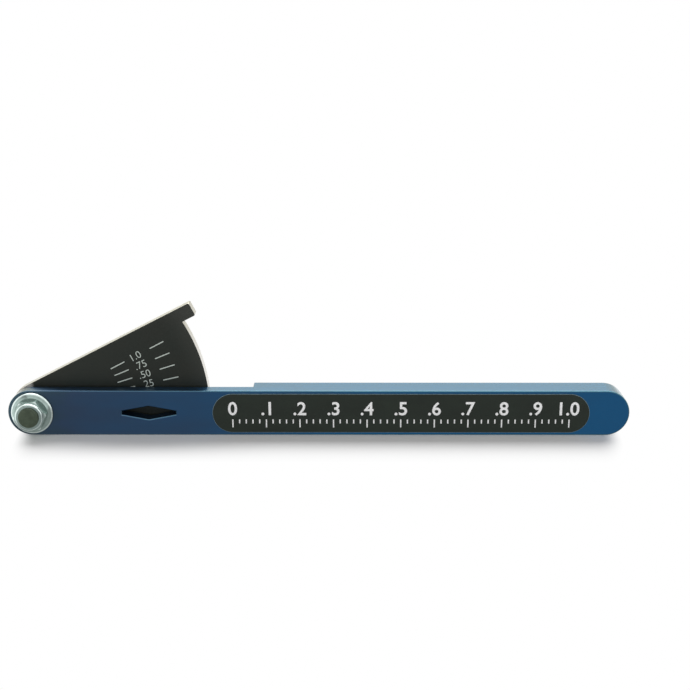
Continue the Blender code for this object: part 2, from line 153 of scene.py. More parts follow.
class GaugeIndicator(bpy.types.PropertyGroup):
    """Sizes and colours of the swinging plate and its scale."""

    upper_offset: length("Upper edge", "Distance of the upper edge from the pivot axis", 6.8)
    hub_radius: length("Hub radius", "Radius of the round hub", 6.5)
    sector_radius: length("Sector radius", "Radius of the arc under the tab", 48.3)
    tab_reach: length("Tab reach", "Distance of the tab's end from the pivot", 52.25)
    tab_depth: length("Tab depth", "Depth of the thumb tab", 3.8)
    upper_angle: angle("Upper edge angle", "Tilt of the upper edge at rest", 27.15)
    lower_angle: angle("Lower edge angle", "Tilt of the lower edge at rest", 1.5)
    corner_radius: length("Corner radius", "Radius of the plate's corners", 0.4)
    hub_chamfer: length("Hub chamfer", "Chamfer along the hub's front edge", 0.5)
    edge_break: length("Edge break", "Width of the rounding along the plate's faces", 0.2)
    first_mark: angle("First mark", "Angle of the lowest mark at rest", 12.75)
    mark_step: angle("Mark step", "Angle from one mark to the next", 5.05)
    tick_start: length("Inner tick", "Radius where the inner ticks start", 24.1)
    outer_tick_start: length("Outer tick", "Radius where the outer ticks start", 36.5)
    tick_length: length("Tick length", "Length of a tick", 4.4)
    tick_width: length("Tick width", "Width of a tick", 0.29)
    numeral_radius: length("Numeral place", "Distance of the numbers from the pivot", 32.1)
    numeral_height: length("Numeral height", "Height of the numbers", 2.0)
    numerals: StringProperty(name="Numerals", description="Scale numbers, from the lowest mark up",
                             default=".25 .50 .75 1.0")
    black: colour("Plate black", "Black finish of the plate's faces", "#1a1f19")
    # A lighter, browner black towards the tab's end.
    tab_tone: colour("Thumbed black", "Black finish where the thumb has rubbed the tab", "#363833")
    bare: colour("Bare edge", "Bare steel of the cut edges", "#b8b5af")
    marking: colour("Marking", "Light marking of the scale", "#c8d1c9")


class GaugePivot(bpy.types.PropertyGroup):
    """Sizes and colours of the nut, stud, pins and washer."""

    across_flats: length("Across flats", "Width of the nut's hexagon", 8.0)
    nut_turn: angle("Nut turn", "Angle of the hexagon's first corner", 6)
    collar_diameter: length("Collar diameter", "Width of the nut's round collar", 7.6)
    collar_height: length("Collar height", "Height of the collar above the hexagon", 0.5)
    collar_round: length("Collar rounding", "Radius of the collar's edge", 0.5)
    countersink: length("Countersink", "Width of the countersink in the nut's top", 5.6)
    flange_rim: length("Flange rim", "Thickness of the flange's rim", 0.7)
    flange_rise: length("Flange rise", "Height of the flange's cone", 0.5)
    flange_round: length("Flange rounding", "Radius of the flange's upper edge", 0.55)
    shoulder: length("Shoulder", "Diameter of the stud in the cheek", 6.0)
    thread: length("Thread", "Diameter of the stud's thread", 5.0)
    head_flare: length("Head flare", "How far the riveted head flares", 0.3)
    head_depth: length("Head depth", "Depth of the riveted head", 0.6)
    end_round: length("End rounding", "Radius of the edge of the stud's staked end", 0.15)
    end_dish: length("End dish", "Depth of the dish in the stud's staked end", 0.04)
    pin_round: length("Pin rounding", "Radius of the pins' tips", 0.7)
    pin_chamfer: length("Pin chamfer", "Chamfer on the pins' pressed ends", 0.1)
    zinc: colour("Zinc", "Clear passivated zinc of the nut", "#96a7a2")
    # Painted highlight, partly rubbed: the lighter zinc of the nut's rims and corners.
    rubbed_and_painted_highlight: colour("Rubbed zinc", "Zinc where the nut's edges are rubbed bright", "#cbd8d5")
    oxide: colour("Black oxide", "Black oxide of the stud", "#4b5647")
    ground: colour("Ground steel", "Ground steel of the pins", "#c3c3c1")
    spring: colour("Spring steel", "Spring steel of the washer", "#9b9a96")


class GaugeStage(bpy.types.PropertyGroup):
    """Camera and light of the studio."""

    elevation: angle("Elevation", "Height of the camera above the horizon", 15.63)
    yaw: angle("Yaw", "Turn of the camera to the right of the front", 0.61)
    roll: angle("Roll", "Turn of the camera about its line of sight", -0.157)
    distance: length("Distance", "Distance of the camera from its target", 325.0)
    target: FloatVectorProperty(name="Target", description="Point at the middle of the view", size=3,
                                default=(7.45 * MM, BAR_LOW.y, 25.72 * MM), unit='LENGTH',
                                subtype='TRANSLATION')
    lens: amount("Lens", "Focal length on a 36 mm sensor", 62.95)
    ambient: amount("Ambient", "Strength of the light from all round", 0.3)
    key_power: amount("Key power", "Power of the softbox above", 3.3, 'POWER')
    fill_power: amount("Fill power", "Power of the front softbox", 2.5, 'POWER')
    key_size: length("Key size", "Width of the softbox above", 900)
    room_front: amount("Room in front", "Brightness of the room behind the camera, in gloss", 0.3)
    room_back: amount("Room behind", "Brightness of the room behind the gauge, in gloss", 0.97)
    floor_front: amount("Floor in front", "Brightness of the paper before the gauge, in gloss", 0.6)
    floor_back: amount("Floor behind", "Brightness of the paper behind the gauge, in gloss", 1.6)
    wall: colour("Wall", "Colour of the wall behind the gauge, in gloss", "#ffffec")
    room_side: amount("Room beside", "Added brightness of the lamps on both sides, in gloss", 0.7)
    room_top: amount("Room above", "Added brightness of the ceiling, in gloss", 1.4)
    floor_size: length("Floor size", "Width of the floor", 3000)


def deselect():
    bpy.ops.object.select_all(action='DESELECT')


def select_only(piece):
    deselect()
    piece.select_set(True)
    bpy.context.view_layer.objects.active = piece


def named(name):
    """Names the object that was just added, and its mesh, and returns it."""
    piece = bpy.context.object
    piece.name = name
    piece.data.name = name
    return piece


def edit(piece):
    select_only(piece)
    bpy.ops.object.mode_set(mode='EDIT')


def leave_edit():
    bpy.ops.object.mode_set(mode='OBJECT')


def pick(piece, kind, test):
    """In edit mode, selects only the verts, edges or faces that pass the test."""
    bpy.ops.mesh.select_mode(type=kind)
    bpy.ops.mesh.select_all(action='DESELECT')
    shape = bmesh.from_edit_mesh(piece.data)
    parts = {'VERT': shape.verts, 'EDGE': shape.edges, 'FACE': shape.faces}[kind]
    for part in parts:
        if test(part):
            part.select_set(True)
    shape.select_flush_mode()
    bmesh.update_edit_mesh(piece.data)


def runs_along(edge, axis):
    """True if an edge runs along the axis with that number."""
    run = edge.verts[1].co - edge.verts[0].co
    return abs(run[axis]) > ALONG * run.length


def lies_at(edge, y):
    """True if both ends of an edge are at that Y."""
    return all(abs(vert.co.y - y) < MERGE for vert in edge.verts)


def is_sharp(edge):
    return len(edge.link_faces) == 2 and edge.calc_face_angle() > SHARP


def is_flat(face):
    """True if a face looks straight to the front or the back."""
    return abs(face.normal.y) > FLAT


def is_slanted(face):
    """True if a face is part of a chamfer or rounding along the front or the back."""
    return abs(face.normal.y) > SQUARE and not is_flat(face)


def bevel_edges(piece, test, width, segments):
    """Rounds the edges that pass the test, as far as that width from each."""
    edit(piece)
    pick(piece, 'EDGE', test)
    bpy.ops.mesh.bevel(offset=width, segments=segments, affect='EDGES')
    leave_edit()


def apply_modifier(piece, kind, **settings):
    select_only(piece)
    modifier = piece.modifiers.new(kind.title(), kind)
    for name, value in settings.items():
        setattr(modifier, name, value)
    bpy.ops.object.modifier_apply(modifier=modifier.name)


def combine(piece, other, operation):
    """Cuts, joins or intersects a piece with another, which is used up."""
    apply_modifier(piece, 'BOOLEAN', operation=operation, solver='EXACT', object=other)
    bpy.data.objects.remove(other, do_unlink=True)


def apply_place(piece):
    """Puts a piece's place, turn and scale into its mesh."""
    select_only(piece)
    bpy.ops.object.transform_apply(location=True, rotation=True, scale=True)


def face_front(piece, location):
    """Turns a piece made along +Z to look along -Y from that place."""
    piece.location = location
    piece.rotation_euler = FACE_TO_FRONT
    apply_place(piece)


def tidy_mesh(piece):
    """Merges doubles and flat neighbours, and turns the faces outwards."""
    edit(piece)
    bpy.ops.mesh.select_mode(type='VERT')
    bpy.ops.mesh.select_all(action='SELECT')
    bpy.ops.mesh.remove_doubles(threshold=MERGE)
    bpy.ops.mesh.dissolve_limited(angle_limit=radians(0.05))
    bpy.ops.mesh.normals_make_consistent(inside=False)
    leave_edit()


def shade(piece):
    """Smooths the roundings and leaves the flats flat."""
    select_only(piece)
    bpy.ops.object.shade_smooth_by_angle(angle=SHARP)
    apply_modifier(piece, 'WEIGHTED_NORMAL', keep_sharp=True)


def block(name, low, high):
    """A box between two corners."""
    low, high = Vector(low), Vector(high)
    bpy.ops.mesh.primitive_cube_add(size=1, location=(low + high) / 2, scale=high - low)
    piece = named(name)
    apply_place(piece)
    return piece


def round_bar(name, low, high, segments):
    """A flat bar whose ends are rounded until each is a half circle."""
    piece = block(name, low, high)
    bevel_edges(piece, lambda edge: runs_along(edge, 1), (high[2] - low[2]) / 2, segments)
    edit(piece)
    bpy.ops.mesh.select_all(action='SELECT')
    bpy.ops.mesh.remove_doubles(threshold=MERGE)
    leave_edit()
    return piece


def turned(name, rings, sides=96):
    """A solid turned about Z: a disc drawn out ring by ring, each ring (radius, height)."""
    bpy.ops.mesh.primitive_circle_add(vertices=sides, radius=rings[0][0], fill_type='NGON',
                                      location=(0, 0, rings[0][1]))
    piece = named(name)
    apply_place(piece)
    edit(piece)
    bpy.ops.mesh.select_mode(type='FACE')
    bpy.ops.mesh.select_all(action='SELECT')
    for (radius, height), (next_radius, next_height) in zip(rings, rings[1:]):
        bpy.ops.mesh.extrude_region()
        bpy.ops.transform.translate(value=(0, 0, next_height - height))
        share = next_radius / radius
        bpy.ops.transform.resize(value=(share, share, 1), center_override=(0, 0, next_height))
    bpy.ops.mesh.select_all(action='SELECT')
    bpy.ops.mesh.normals_make_consistent(inside=False)
    leave_edit()
    return piece


def rounding(radius, height, size, start, end, steps=5):
    """Rings along an arc of that size about (radius, height), its angles in degrees from outwards."""
    rings = []
    for step in range(steps + 1):
        turn = radians(start + (end - start) * step / steps)
        rings.append((radius + size * cos(turn), height + size * sin(turn)))
    return rings


def on_axis(piece, centre):
    """Faces a turned piece to the front, about the axis along Y through a point."""
    face_front(piece, (centre.x, 0, centre.z))


def cut_round(piece, name, centre, rings):
    """Cuts a turned hole into a piece, its rings from the back to the front."""
    cutter = turned(name, rings)
    on_axis(cutter, centre)
    combine(piece, cutter, 'DIFFERENCE')


def pin_place(node):
    """Middle, radius, front and back of a pin."""
    low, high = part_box(node)
    return (low + high) / 2, (high.x - low.x) / 2, low.y, high.y


def copy_of(piece, name):
    """A copy with its own mesh."""
    copied = piece.copy()
    copied.data = piece.data.copy()
    copied.name = name
    bpy.context.scene.collection.objects.link(copied)
    return copied


def join(pieces, name):
    deselect()
    for piece in pieces:
        piece.select_set(True)
    bpy.context.view_layer.objects.active = pieces[0]
    bpy.ops.object.join()
    return named(name)


def lettering(name, text, height, weight):
    """Numbers of a given height and thickness PRINT, centred on the XY plane.

    A weight above zero makes the strokes bolder, by that share of the type size on each side, and
    one below zero makes them finer.
    """
    least_depth = 0.001   # without it the text has no thickness
    bpy.ops.object.text_add()
    written = named(name)
    written.data.body = text
    written.data.resolution_u = 6
    written.data.offset = min(weight, 0)
    written.data.bevel_depth = max(weight, least_depth)
    written.data.bevel_resolution = 0
    bpy.ops.object.convert(target='MESH')
    written = bpy.context.object
    corners = [vert.co for vert in written.data.vertices]
    low, high = Vector(map(min, *corners)), Vector(map(max, *corners))
    share = height / (high.y - low.y)
    middle = (low + high) / 2
    flat = Matrix.Diagonal((share, share, PRINT / (high.z - low.z), 1))
    written.data.transform(flat @ Matrix.Translation((-middle.x, -middle.y, -low.z)))
    return written


def add_node(tree, kind, inputs=None, **settings):
    """Adds a shader node. Inputs are values, sockets, or nodes for their first output."""
    made = tree.nodes.new("ShaderNode" + kind)
    for name, value in settings.items():
        setattr(made, name, value)
    for socket, value in (inputs or {}).items():
        if isinstance(value, bpy.types.Node):
            value = value.outputs[0]
        if isinstance(value, bpy.types.NodeSocket):
            tree.links.new(value, made.inputs[socket])
        else:
            made.inputs[socket].default_value = value
    return made


def new_material(name, metallic, roughness):
    """A Principled material, its node tree and its shader."""
    material = bpy.data.materials.new(name)
    material.use_nodes = True
    tree = material.node_tree
    shader = tree.nodes["Principled BSDF"]
    shader.inputs["Metallic"].default_value = metallic
    shader.inputs["Roughness"].default_value = roughness
    return material, tree, shader


def grain(tree, spacing, centre=(0, 0, 0), detail=3.0):
    """Noise on the object's own coordinates, with its real spacing in metres along X, Y and Z."""
    coordinates = add_node(tree, 'TexCoord')
    mapping = add_node(tree, 'Mapping', {
        "Vector": coordinates.outputs["Object"],
        "Location": tuple(-c / s for c, s in zip(centre, spacing)),
        "Scale": tuple(1 / s for s in spacing)})
    return add_node(tree, 'TexNoise', {
        "Vector": mapping, "Scale": 1.0, "Detail": detail, "Roughness": 0.55})


def vary(tree, shader, noise, socket, low, high):
    """Spreads a noise between two values of one of the shader's sockets."""
    ranged = add_node(tree, 'MapRange', {
        "Value": noise, "From Min": NOISE_LOW, "From Max": NOISE_HIGH,
        "To Min": low, "To Max": high})
    tree.links.new(ranged.outputs[0], shader.inputs[socket])


def tint(tree, shader, noise, colours):
    """Spreads a noise over the base colour, from the first colour to the last."""
    ramp = add_node(tree, 'ValToRGB', {"Fac": noise})
    ramp.color_ramp.elements[0].position = NOISE_LOW
    ramp.color_ramp.elements[1].position = NOISE_HIGH
    for element, value in zip(ramp.color_ramp.elements, colours):
        element.color = (*value, 1)
    tree.links.new(ramp.outputs[0], shader.inputs["Base Color"])
    return ramp.outputs[0]


def emboss(tree, shader, height, depth):
    bump = add_node(tree, 'Bump', {"Height": height, "Distance": depth})
    tree.links.new(bump.outputs[0], shader.inputs["Normal"])


def shaded(base, factor):
    return tuple(channel * factor for channel in base)


def grained_metal(name, base, roughness, spacing, shine, shades, depth, centre=(0, 0, 0), detail=3.0):
    """Bare metal with one grain in its shine, its colour and its relief."""
    material, tree, shader = new_material(name, 1.0, roughness)
    metal_grain = grain(tree, spacing, centre, detail)
    vary(tree, shader, metal_grain, "Roughness", *shine)
    tint(tree, shader, metal_grain, [shaded(base, shade) for shade in shades])
    if depth:
        emboss(tree, shader, metal_grain, depth)
    return material


def anodised_aluminium(name, base, painted_reflection_and_paper_fade):
    """Extruded bar, brushed along its length, dyed and sealed: a deep, silky metallic blue.

    A painted reflection turns the front greyer towards the pivot end, with a tinge of green round
    the nut. The sides take less of it.
    """
    gradient_length = 0.6 * BAR_LENGTH
    greenish, greyish = 0.08, 0.2   # places on the ramp of the painted greenish and greyish tinges of the pivot end
    unevenness = 0.12               # how far clouds of lighter and deeper dye stray from that
    side_depth = 0.3 * MM           # behind the front, where the sides reach their own colour
    side_painted_offset = 0.25                 # how much less of the painted reflection the sides take than the front
    material, tree, shader = new_material(name, 0.9, 0.36)
    # What glances off it is a little warmer than the dye.
    shader.inputs["Specular Tint"].default_value = (1, 0.98, 0.8, 1)
    shader.inputs["Coat Weight"].default_value = 0.4
    shader.inputs["Coat Roughness"].default_value = 0.18
    # Brush lines are near 0.05 mm apart. They are drawn at 0.25 mm, to show in a view of the bar.
    brushed = grain(tree, (9 * MM, 0.25 * MM, 0.25 * MM))
    vary(tree, shader, brushed, "Roughness", 0.32, 0.4)
    clouds = grain(tree, (26 * MM, 9 * MM, 9 * MM), detail=2.0)
    coordinates = add_node(tree, 'TexCoord')
    parts = add_node(tree, 'SeparateXYZ', {0: coordinates.outputs["Object"]})
    along = add_node(tree, 'MapRange', {
        "Value": parts.outputs["X"], "From Min": BAR_LOW.x, "From Max": BAR_LOW.x + gradient_length})
    cloudy = add_node(tree, 'MapRange', {
        "Value": clouds, "From Min": NOISE_LOW, "From Max": NOISE_HIGH,
        "To Min": -unevenness, "To Max": unevenness})
    on_front = add_node(tree, 'Math', {0: along, 1: cloudy})
    sides = add_node(tree, 'MapRange', {
        "Value": parts.outputs["Y"], "From Min": BAR_LOW.y, "From Max": BAR_LOW.y + side_depth,
        "To Min": 0, "To Max": side_painted_offset})
    painted_ramp_place = add_node(tree, 'Math', {0: on_front, 1: sides})
    # Painted reflection: from a painted greenish tinge round the nut, through a painted grey at the
    # pivot end, to the plain blue.
    ramp = add_node(tree, 'ValToRGB', {"Fac": painted_ramp_place})
    stops = ramp.color_ramp.elements
    stops[0].position = greenish
    stops[0].color = (painted_reflection_and_paper_fade[0], painted_reflection_and_paper_fade[1], 0.7 * painted_reflection_and_paper_fade[2], 1)
    stops[1].color = (*base, 1)
    stops.new(greyish).color = (*painted_reflection_and_paper_fade, 1)
    tree.links.new(ramp.outputs[0], shader.inputs["Base Color"])
    emboss(tree, shader, brushed, 0.004 * MM)
    return material


def label_laminate(base):
    """Printed vinyl under a satin laminate: soft black with a faint orange peel."""
    material, tree, shader = new_material("satin_label_laminate", 0.0, 0.42)
    shader.inputs["Specular IOR Level"].default_value = 0.35
    peel = grain(tree, (0.7 * MM, 0.7 * MM, 0.7 * MM))
    vary(tree, shader, peel, "Roughness", 0.38, 0.47)
    clouds = grain(tree, (11 * MM, 5 * MM, 5 * MM), detail=2.0)
    tint(tree, shader, clouds, (shaded(base, 0.85), shaded(base, 1.2)))
    emboss(tree, shader, peel, 0.006 * MM)
    return material


def laminate_edge_highlight():
    """Cut edge of the clear laminate, coloured pale all round: a painted highlight for the thin pale
    line where it catches the light.
    """
    material, tree, shader = new_material("painted_laminate_highlight", 0.0, 0.2)
    cut = grain(tree, (0.5 * MM, 0.2 * MM, 0.5 * MM))
    tint(tree, shader, cut, (linear("#566f79"), linear("#7e9aa3")))
    return material


def screen_ink(name, base, roughness):
    """Screen-printed ink: even and matt, a little thin in places."""
    material, tree, shader = new_material(name, 0.0, roughness)
    coverage = grain(tree, (0.4 * MM, 0.4 * MM, 0.4 * MM))
    tint(tree, shader, coverage, (shaded(base, 0.93), base))
    return material


def blend_round_point(tree, under, over, centre, none, full):
    """Lays a colour over another round a point, from no cover at one distance to full at the other."""
    coordinates = add_node(tree, 'TexCoord')
    reach = add_node(tree, 'VectorMath', {
        0: coordinates.outputs["Object"], 1: tuple(centre)}, operation='DISTANCE')
    cover = add_node(tree, 'MapRange', {
        "Value": reach.outputs["Value"], "From Min": none, "From Max": full},
        interpolation_type='SMOOTHSTEP')
    mixed = add_node(tree, 'Mix', {0: cover, 6: under, 7: (*over, 1)}, data_type='RGBA')
    return mixed.outputs[2]


def blackened_steel(sizes):
    """Cold-rolled steel with a black oxide finish: dull, slightly brown and green in patches.

    The black is lighter and browner towards the tab's end, and a pale spot of the bare edge's colour
    lies on the upper corner of the hub.
    """
    base = sizes.black
    tab_tone_start, tab_tone_end = 42 * MM, 53 * MM      # distances from the pivot
    corner_x = 0.6 * MM                            # along the upper edge, from above the pivot
    spot_core, spot_rim = 1.2 * MM, 2.6 * MM    # distances from that corner
    material, tree, shader = new_material("blackened_steel", 0.15, 0.48)
    shader.inputs["Specular IOR Level"].default_value = 0.4
    patches = grain(tree, (14 * MM, 14 * MM, 14 * MM), detail=4.0)
    warm = (base[0] * 1.25, base[1] * 1.1, base[2] * 1.02)
    cool = (base[0] * 0.8, base[1] * 0.98, base[2] * 0.95)
    patchy = tint(tree, shader, patches, (cool, warm))
    # Lighter, browner black from 42 mm to 53 mm out from the pivot, towards the tab's end.
    tab_tone = blend_round_point(tree, patchy, sizes.tab_tone, PIVOT, tab_tone_start, tab_tone_end)
    # A pale spot of the bare edge's colour on the upper corner of the hub.
    corner = Matrix.Rotation(-sizes.upper_angle, 3, 'Y') @ Vector((corner_x, 0, sizes.upper_offset))
    corner += Vector((PIVOT.x, PLATE_LOW.y, PIVOT.z))
    pale_spot = blend_round_point(tree, tab_tone, sizes.bare, corner, spot_rim, spot_core)
    tree.links.new(pale_spot, shader.inputs["Base Color"])
    rolled = grain(tree, (0.3 * MM, 0.3 * MM, 0.3 * MM), detail=5.0)
    vary(tree, shader, rolled, "Roughness", 0.42, 0.55)
    emboss(tree, shader, rolled, 0.008 * MM)
    return material


def cut_steel_edge(base):
    """Ground edge of the plate: bright steel with fine lines across its thickness."""
    return grained_metal("ground_steel_edge", base, 0.34, (0.22 * MM, 4 * MM, 0.22 * MM),
                         shine=(0.28, 0.42), shades=(0.82, 1), depth=0.004 * MM)


def passivated_zinc(name, base):
    """Electroplated zinc, clear passivated: bright, faintly blue-green and slightly uneven."""
    return grained_metal(name, base, 0.26, (0.9 * MM, 0.9 * MM, 0.9 * MM), shine=(0.14, 0.24),
                         shades=(0.8, 1), depth=0.004 * MM, centre=PIVOT, detail=4.0)


def rings_about_pivot(tree, pitch):
    """Height of turning marks, as rings about the pivot axis."""
    coordinates = add_node(tree, 'TexCoord')
    centred = add_node(tree, 'VectorMath', {
        0: coordinates.outputs["Object"], 1: tuple(PIVOT)}, operation='SUBTRACT')
    flat = add_node(tree, 'VectorMath', {0: centred, 1: (1, 0, 1)}, operation='MULTIPLY')
    radius = add_node(tree, 'VectorMath', {0: flat}, operation='LENGTH')
    phase = add_node(tree, 'Math', {0: radius.outputs["Value"], 1: 2 * pi / pitch},
                     operation='MULTIPLY')
    return add_node(tree, 'Math', {0: phase}, operation='SINE')


def oxidised_steel(base):
    """Turned steel, black oxide: dark olive grey, with turning rings on its end."""
    material, tree, shader = new_material("black_oxide_steel", 0.7, 0.42)
    patches = grain(tree, (1.6 * MM, 1.6 * MM, 1.6 * MM), PIVOT, detail=4.0)
    tint(tree, shader, patches, (shaded(base, 0.75), shaded(base, 1.15)))
    vary(tree, shader, patches, "Roughness", 0.36, 0.5)
    emboss(tree, shader, rings_about_pivot(tree, 0.3 * MM), 0.003 * MM)
    return material


def centreless_ground_steel(base):
    """Hardened dowel steel, ground round: bright, with faint rings along its length."""
    return grained_metal("ground_dowel_steel", base, 0.2, (3 * MM, 0.15 * MM, 3 * MM),
                         shine=(0.15, 0.27), shades=(0.9, 1), depth=0.002 * MM)


def rolled_spring_steel(base):
    """Rolled spring strip: grey and smooth, with lines from rolling."""
    return grained_metal("rolled_spring_steel", base, 0.33, (4 * MM, 4 * MM, 0.2 * MM),
                         shine=(0.27, 0.4), shades=(0.85, 1), depth=0)


def coat(piece, material, other=None, takes_other=None):
    """Gives a piece its material, and the other one to the faces that pass the test."""
    piece.data.materials.clear()
    piece.data.materials.append(material)
    if other:
        piece.data.materials.append(other)
        for face in piece.data.polygons:
            face.material_index = 1 if takes_other(face) else 0


def wear(piece, body, slot, *nodes):
    """Lets a finished piece ride on a body, and hides the nodes that it replaces. The slot is not
    used.
    """
    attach(piece, body)
    if nodes:
        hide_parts(*nodes)


class GAUGE_OT_build_bar(bpy.types.Operator):
    """Build the anodised bar with its half-lap, window and bores"""

    bl_idname = "gauge.build_bar"
    bl_label = "Bar"
    bl_options = {'REGISTER', 'UNDO'}

    def execute(self, context):
        sizes = context.scene.gauge_bar
        bar = round_bar("bar", BAR_LOW, BAR_HIGH, segments=48)
        lap = block("lap", (BAR_LOW.x - OVERRUN, BAR_LOW.y + sizes.cheek, BAR_LOW.z - OVERRUN),
                    (BAR_LOW.x + sizes.lap_length, BAR_HIGH.y + OVERRUN, BAR_HIGH.z + OVERRUN))
        combine(bar, lap, 'DIFFERENCE')
        apply_modifier(bar, 'BEVEL', width=sizes.edge_break, segments=3, limit_method='ANGLE',
                       angle_limit=SHARP)
        combine(bar, self.window_cutter(sizes), 'DIFFERENCE')
        bore = context.scene.gauge_pivot.shoulder / 2 + BORE_GAP
        cut_round(bar, "pivot_bore", PIVOT, [(bore, -BAR_HIGH.y), (bore, OVERRUN - BAR_LOW.y)])
        centre, radius, front, _ = pin_place("fixed_pin")
        seat = radius + SEAT_GAP
        cut_round(bar, "pin_seat", centre, [(seat, -BAR_HIGH.y - OVERRUN), (seat, -front)])
        shade(bar)
        # Edge breaks and the window's chamfer take a lighter copy of the blue: partly rubbed, partly a
        # painted highlight.
        coat(bar, anodised_aluminium("blue_anodised_aluminium", sizes.anodised, sizes.painted_reflection_and_paper_fade),
             anodised_aluminium("anodised_edge_rubbed_and_painted_highlight", sizes.rubbed_and_painted_highlight, sizes.rubbed_edge_painted_highlight_and_reflection), is_slanted)
        wear(bar, "bar", "bar_anodised", "body_bar")
        return {'FINISHED'}

    def window_cutter(self, sizes):
        """A six-sided prism whose narrow ends point at the marks, flared in front of the chamfer."""
        chamfer = sizes.window_chamfer
        depth = sizes.cheek + OVERRUN - chamfer
        bpy.ops.mesh.primitive_cylinder_add(vertices=6, radius=1, depth=depth)
        cutter = named("window")
        edit(cutter)
        window = self.stretch(cutter, (cos(pi / 6), 1, 1 / 2), self.window_size(sizes, chamfer),
                              lambda vert: True)
        pick(cutter, 'FACE', lambda face: face.normal.z > FLAT)
        bpy.ops.mesh.extrude_region()
        bpy.ops.transform.translate(value=(0, 0, chamfer + OVERRUN))
        self.stretch(cutter, window, self.window_size(sizes, -OVERRUN),
                     lambda vert: vert.co.z > (depth + chamfer) / 2)
        leave_edit()
        face_front(cutter, (PIVOT.x + sizes.window_radius, BAR_LOW.y + chamfer + depth / 2, AXIS_Z))
        return cutter

    def window_size(self, sizes, inset):
        """Half length, half height and half the ends' height, with each side moved in."""
        slope = atan2(sizes.window_height - sizes.window_end, sizes.window_length)
        half_length = sizes.window_length / 2 - inset
        peak = sizes.window_height / 2 - inset / cos(slope)
        return half_length, peak, peak - half_length * tan(slope)

    def stretch(self, cutter, before, after, in_ring):
        """Stretches a ring of the cutter from one window size to another."""
        pick(cutter, 'VERT', in_ring)
        bpy.ops.transform.resize(value=(after[0] / before[0], after[1] / before[1], 1),
                                 center_override=(0, 0, 0))
        pick(cutter, 'VERT', lambda vert: in_ring(vert) and abs(vert.co.x) > after[0] / 2)
        share = (after[2] / after[1]) / (before[2] / before[1])
        bpy.ops.transform.resize(value=(1, share, 1), center_override=(0, 0, 0))
        return after


class GAUGE_OT_build_label(bpy.types.Operator):
    """Build the black label film with its clear edge and plain numbers"""

    bl_idname = "gauge.build_label"
    bl_label = "Label"
    bl_options = {'REGISTER', 'UNDO'}

    def execute(self, context):
        sizes = context.scene.gauge_bar
        label = round_bar("label", LABEL_LOW, LABEL_HIGH, segments=40)
        bevel_edges(label, lambda edge: is_sharp(edge) and lies_at(edge, LABEL_LOW.y),
                    sizes.label_edge, segments=3)
        shade(label)
        # The label's edge takes a pale colour all round: a painted highlight.
        coat(label, label_laminate(sizes.film), laminate_edge_highlight(), lambda face: not is_flat(face))
        wear(label, "bar", "label_film", "front_label")
        self.build_print(sizes)
        return {'FINISHED'}

    def build_print(self, sizes):
        """A plain scale from 0 to 1.0: bold numbers over a row of ticks."""
        radius = (LABEL_HIGH.z - LABEL_LOW.z) / 2
        left = LABEL_LOW.x + radius
        right = LABEL_HIGH.x - radius
        tick_top = AXIS_Z - sizes.tick_drop
        half = sizes.tick_width / 2
        printed = []
        for tenth in range(11):
            text = {0: "0", 10: "1.0"}.get(tenth, f".{tenth}")
            number = lettering(f"number_{tenth}", text, sizes.numeral_height, BOLD)
            x = left + (right - left) * tenth / 10
            face_front(number, (x, LABEL_LOW.y, AXIS_Z + sizes.numeral_rise))
            printed.append(number)
        for fiftieth in range(51):
            tall = sizes.tick_height if fiftieth % 5 == 0 else sizes.tick_height / 2
            x = left + (right - left) * fiftieth / 50
            printed.append(block(f"tick_{fiftieth}", (x - half, LABEL_LOW.y - PRINT, tick_top - tall),
                                 (x + half, LABEL_LOW.y, tick_top)))
        label_print = join(printed, "label_print")
        coat(label_print, screen_ink("white_label_ink", sizes.ink, 0.5))
        wear(label_print, "bar", "label_film")


